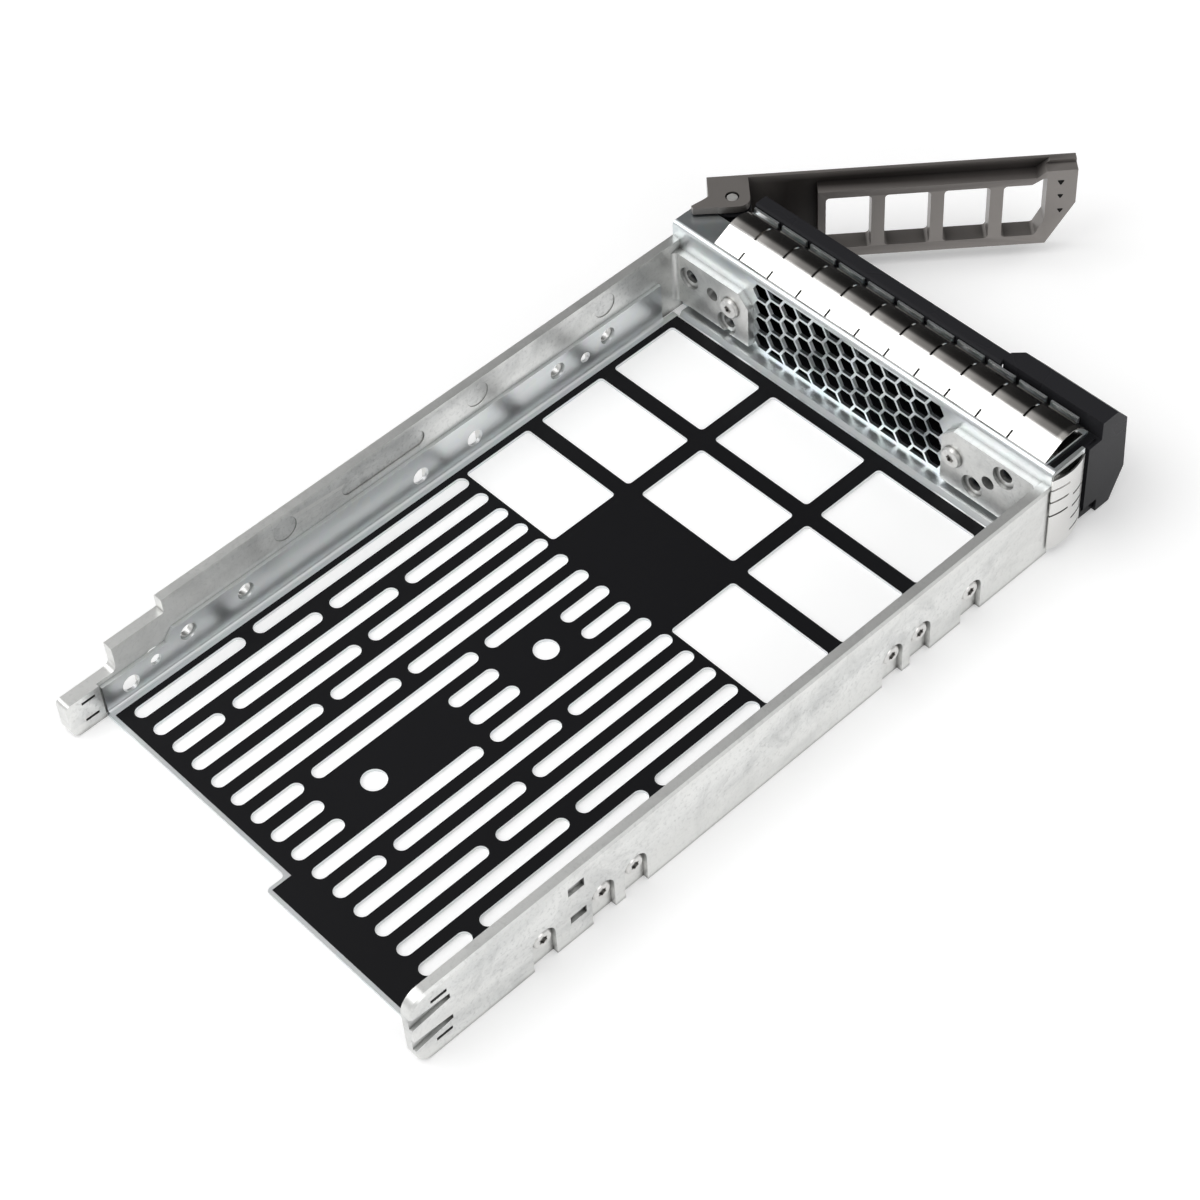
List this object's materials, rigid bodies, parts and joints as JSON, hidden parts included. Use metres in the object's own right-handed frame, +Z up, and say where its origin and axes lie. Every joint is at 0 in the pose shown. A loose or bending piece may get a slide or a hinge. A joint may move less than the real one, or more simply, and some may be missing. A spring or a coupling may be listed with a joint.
{
  "type": "hot swap drive caddy",
  "caption": "Sheet metal tray with cast side rails, honeycomb front plate, contact springs, black bezel and an open swing handle.",
  "frame": {"origin": "middle of the width, at the inner face of the front plate and the underside of the rails", "axes": "+Z up, +Y from the bezel to the connector end, +X to the hinge side of the handle"},
  "size_m": [0.1131, 0.246, 0.027],
  "materials": {
    "zinc_plated_sheet": "zinc-plated steel sheet",
    "black_film": "smooth black insulating film",
    "cast_zinc": "die cast, tumbled, faintly mottled",
    "galvanised_sheet": "bright zinc-plated sheet",
    "spring_steel": "polished spring strip",
    "black_plastic": "satin black moulding",
    "handle_coat": "dark bronze-grey coat on a casting",
    "button_plastic": "satin dark grey moulding",
    "pin_steel": "ground pin",
    "spring_wire": "bright wire",
    "screw_steel": "nickel-plated screws"
  },
  "bodies": {
    "caddy": {"tray_pan": "zinc_plated_sheet", "insulator_film": "black_film", "hinge_rail": "cast_zinc", "latch_rail": "cast_zinc", "front_plate": "galvanised_sheet", "top_emi_spring": "spring_steel", "side_emi_spring": "spring_steel", "bezel": "black_plastic", "hinge_pin": "pin_steel", "handle_spring": "spring_wire", "button_spring": "spring_wire", "front_screw_hinge": "screw_steel", "front_screw_latch": "screw_steel", "drive_screw_1": "screw_steel", "drive_screw_2": "screw_steel", "drive_screw_3": "screw_steel", "drive_screw_4": "screw_steel", "drive_screw_5": "screw_steel", "drive_screw_6": "screw_steel"},
    "handle": {"handle": "handle_coat"},
    "button": {"release_button": "button_plastic"}
  },
  "joints": [
    {"name": "handle_pivot", "type": "hinge", "parent": "caddy", "child": "handle", "pos_m": [0.0486, -0.013, 0.01455], "axis": [0, 0, 1], "range_deg": [-48.9, 0], "stiffness_Nm_per_rad": 0.01, "springref_deg": 20.05},
    {"name": "button_press", "type": "slide", "parent": "caddy", "child": "button", "axis": [0, 1, 0], "range_m": [0, 0.0016], "stiffness_N_per_m": 400, "springref_m": -0.002, "deforming": ["button_spring"]}
  ]
}
